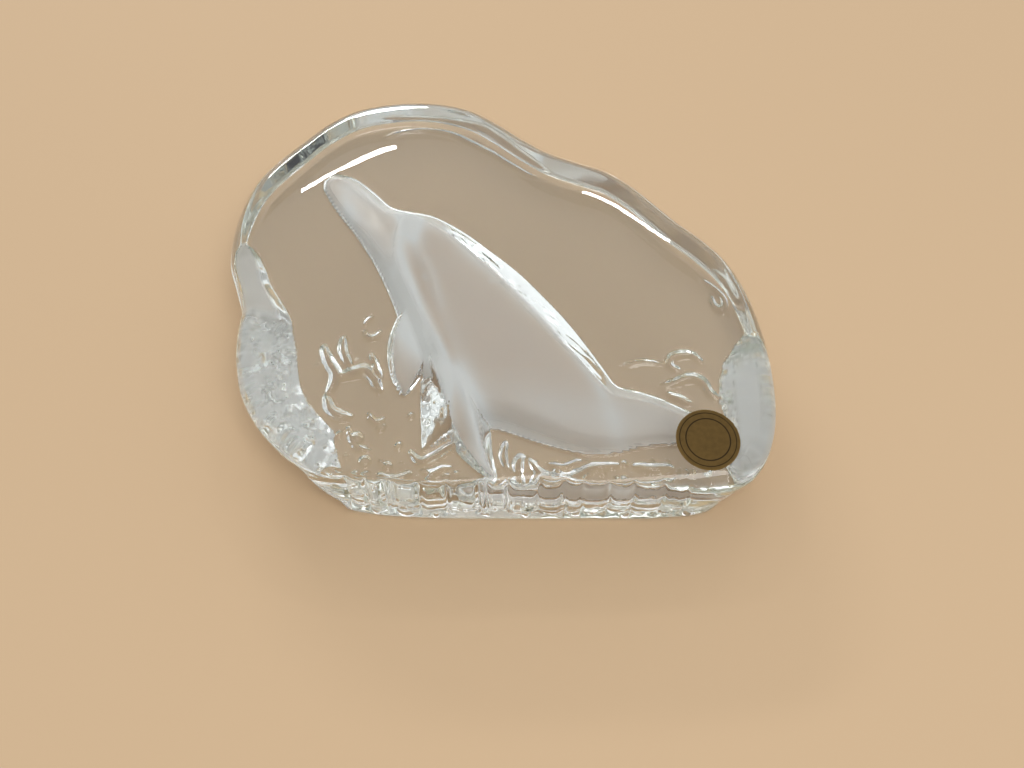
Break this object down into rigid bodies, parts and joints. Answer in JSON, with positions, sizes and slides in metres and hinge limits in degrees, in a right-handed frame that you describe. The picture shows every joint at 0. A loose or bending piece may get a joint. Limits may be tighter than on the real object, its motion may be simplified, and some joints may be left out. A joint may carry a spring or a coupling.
{
  "type": "glass dolphin ornament",
  "caption": "Clear crystal block ornament with a frosted leaping dolphin and splash pressed into its back, lying on that flat back, with a small round foil label on its front.",
  "frame": {"origin": "middle of the block's outline, on the surface that its flat back lies on", "axes": "+Z out of the smooth front face; +Y away from the straight wall that it can also stand on; +X towards the dolphin's tail"},
  "size_m": [0.1266, 0.1144, 0.0205],
  "materials": {
    "crystal_glass": "polished clear lead crystal, with the pressed dolphin satin frosted",
    "gold_foil": "dull dark gold foil"
  },
  "bodies": {
    "root": {"crystal_block": "crystal_glass", "foil_label": "gold_foil"}
  },
  "joints": []
}
